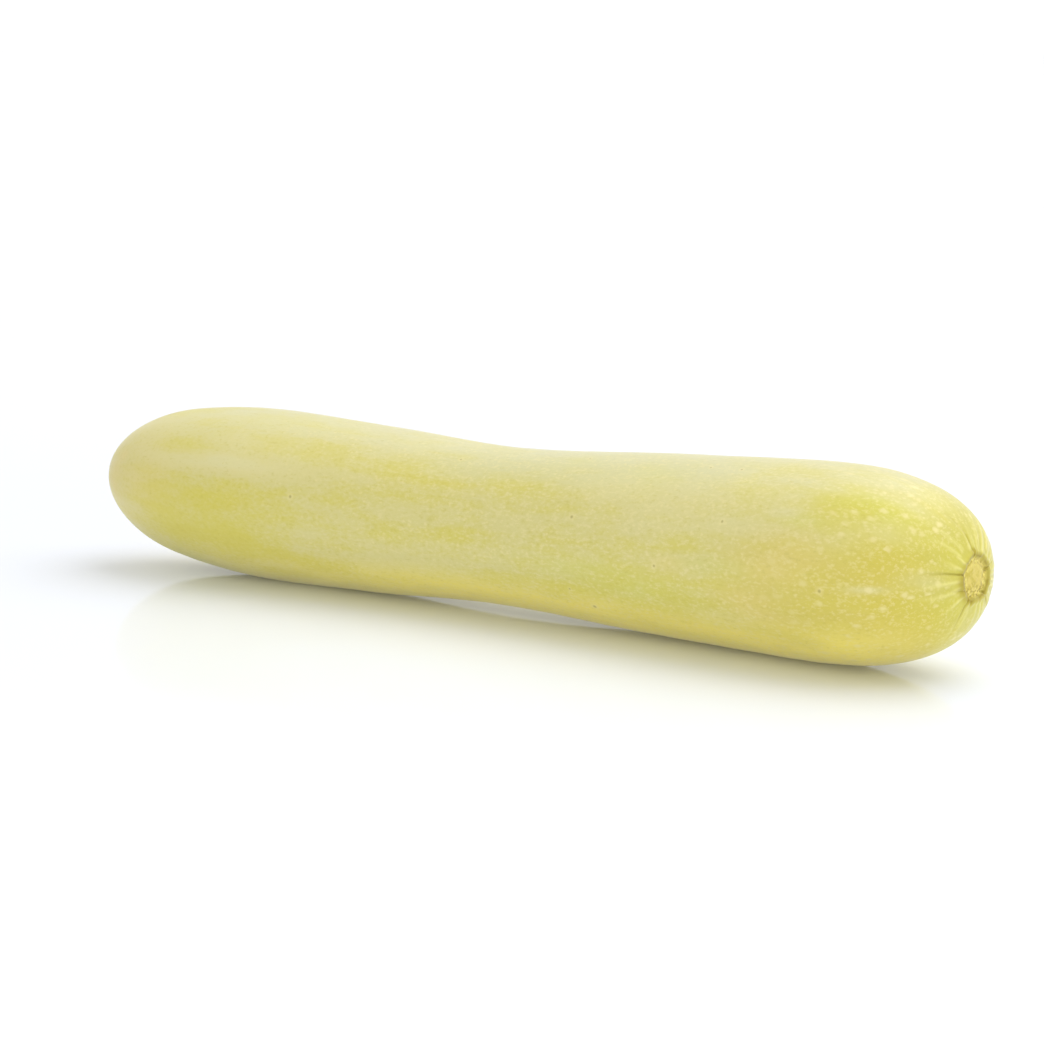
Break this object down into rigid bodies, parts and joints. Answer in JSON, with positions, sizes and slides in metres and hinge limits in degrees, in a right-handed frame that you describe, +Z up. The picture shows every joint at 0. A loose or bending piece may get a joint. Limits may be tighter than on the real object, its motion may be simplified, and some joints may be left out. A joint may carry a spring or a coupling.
{
  "type": "cucumber",
  "caption": "Whole pale yellow cucumber lying on its side, thick and blunt at the blossom end, slightly waisted and bowed, with a dry round scar at the tip.",
  "frame": {"origin": "middle of the footprint, on the surface that the fruit rests on", "axes": "+X along the fruit from the stem end to the blossom end, +Y towards the side it bows to, +Z up"},
  "size_m": [0.2588, 0.0474, 0.046],
  "materials": {
    "skin": "waxy satin vegetable skin, pale yellow with cream flecks and soft lengthwise bands"
  },
  "bodies": {
    "root": {"cucumber": "skin"}
  },
  "joints": []
}
